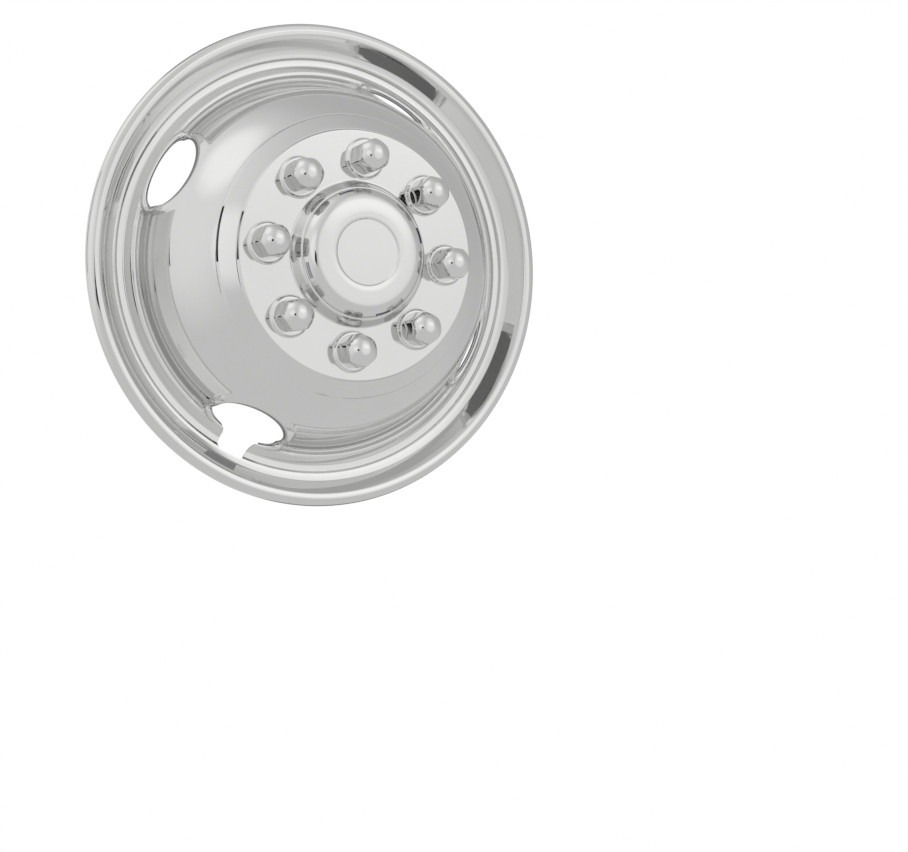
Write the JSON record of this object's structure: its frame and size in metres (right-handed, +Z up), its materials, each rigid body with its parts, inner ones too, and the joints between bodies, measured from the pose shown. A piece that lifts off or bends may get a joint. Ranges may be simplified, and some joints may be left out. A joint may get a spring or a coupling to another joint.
{
  "type": "front wheel simulator",
  "caption": "Front wheel simulator for a dual-wheel light truck: a polished steel liner with domed lug nut covers and a snap-in hub cover.",
  "frame": {"origin": "on the wheel's axis, in the front face of the lug plate", "axes": "+Y along the axis towards the wheel that it dresses, the polished face towards -Y, +Z up, with the valve notch at the bottom"},
  "size_m": [0.4326, 0.1176, 0.4326],
  "materials": {
    "polished_steel": "mirror polished stainless steel",
    "spring_steel": "plain spring steel"
  },
  "bodies": {
    "root": {"wheel_liner": "polished_steel", "hub_cover": "polished_steel", "lug_cover_1": "polished_steel", "lug_cover_2": "polished_steel", "lug_cover_3": "polished_steel", "lug_cover_4": "polished_steel", "lug_cover_5": "polished_steel", "lug_cover_6": "polished_steel", "lug_cover_7": "polished_steel", "lug_cover_8": "polished_steel", "hub_clip_1": "spring_steel", "hub_clip_2": "spring_steel", "hub_clip_3": "spring_steel", "hub_clip_4": "spring_steel", "retaining_ring_1": "spring_steel", "retaining_ring_2": "spring_steel", "retaining_ring_3": "spring_steel", "retaining_ring_4": "spring_steel", "retaining_ring_5": "spring_steel", "retaining_ring_6": "spring_steel", "retaining_ring_7": "spring_steel", "retaining_ring_8": "spring_steel"}
  },
  "joints": []
}
